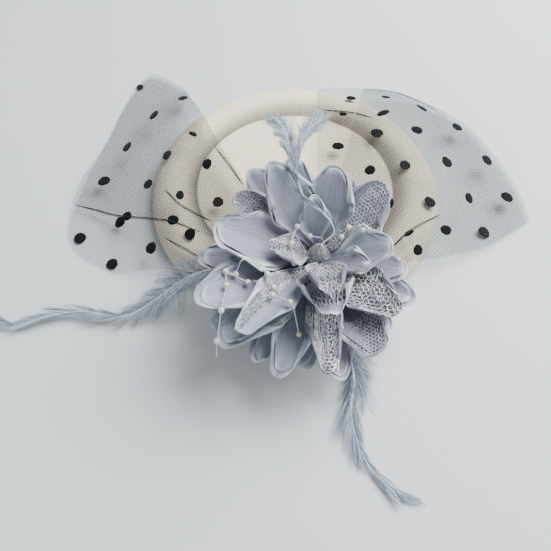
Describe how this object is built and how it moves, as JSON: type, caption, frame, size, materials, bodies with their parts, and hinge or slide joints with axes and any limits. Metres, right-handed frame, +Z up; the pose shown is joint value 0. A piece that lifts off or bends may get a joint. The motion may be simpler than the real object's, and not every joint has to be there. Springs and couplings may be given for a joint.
{
  "type": "fascinator",
  "caption": "Dished fabric disc with a rolled ring, carrying a layered petal flower, folded spotted net, plumes and pearl strings, with a hair clip underneath.",
  "frame": {"origin": "middle of the hair clip's underside, in the plane that the disc's rim rests on", "axes": "+Z up through the disc, +X to the viewer's right along the clip, +Y away from the viewer, with the flower on the -Y side"},
  "size_m": [0.2669, 0.2456, 0.0648],
  "materials": {
    "disc_cloth": "matte woven",
    "clip_metal": "satin",
    "felt": "matte",
    "chiffon": "soft sheen",
    "lace": "silvery open net",
    "net": "open mesh with flocked dots",
    "feather": "fluffy",
    "pearl": "pearly"
  },
  "bodies": {
    "root": {"chiffon_petal_01": "chiffon", "chiffon_petal_02": "chiffon", "chiffon_petal_03": "chiffon", "chiffon_petal_04": "chiffon", "chiffon_petal_05": "chiffon", "chiffon_petal_06": "chiffon", "chiffon_petal_07": "chiffon", "chiffon_petal_08": "chiffon", "chiffon_petal_09": "chiffon", "chiffon_petal_10": "chiffon", "chiffon_petal_11": "chiffon", "chiffon_petal_12": "chiffon", "chiffon_petal_13": "chiffon", "chiffon_petal_14": "chiffon", "chiffon_petal_15": "chiffon", "chiffon_petal_16": "chiffon", "chiffon_petal_17": "chiffon", "chiffon_petal_18": "chiffon", "chiffon_petal_19": "chiffon", "chiffon_petal_20": "chiffon", "chiffon_petal_21": "chiffon", "chiffon_petal_22": "chiffon", "chiffon_petal_23": "chiffon", "chiffon_petal_24": "chiffon", "crown_plume": "feather", "disc": "disc_cloth", "flower_foot": "felt", "front_plume": "feather", "hair_clip": "clip_metal", "lace_petal_01": "lace", "lace_petal_02": "lace", "lace_petal_03": "lace", "lace_petal_04": "lace", "lace_petal_05": "lace", "lace_petal_06": "lace", "lace_petal_07": "lace", "lace_petal_08": "lace", "left_net": "net", "left_plume": "feather", "pearl_string_heart": "pearl", "pearl_string_left": "pearl", "right_net": "net"}
  },
  "joints": []
}
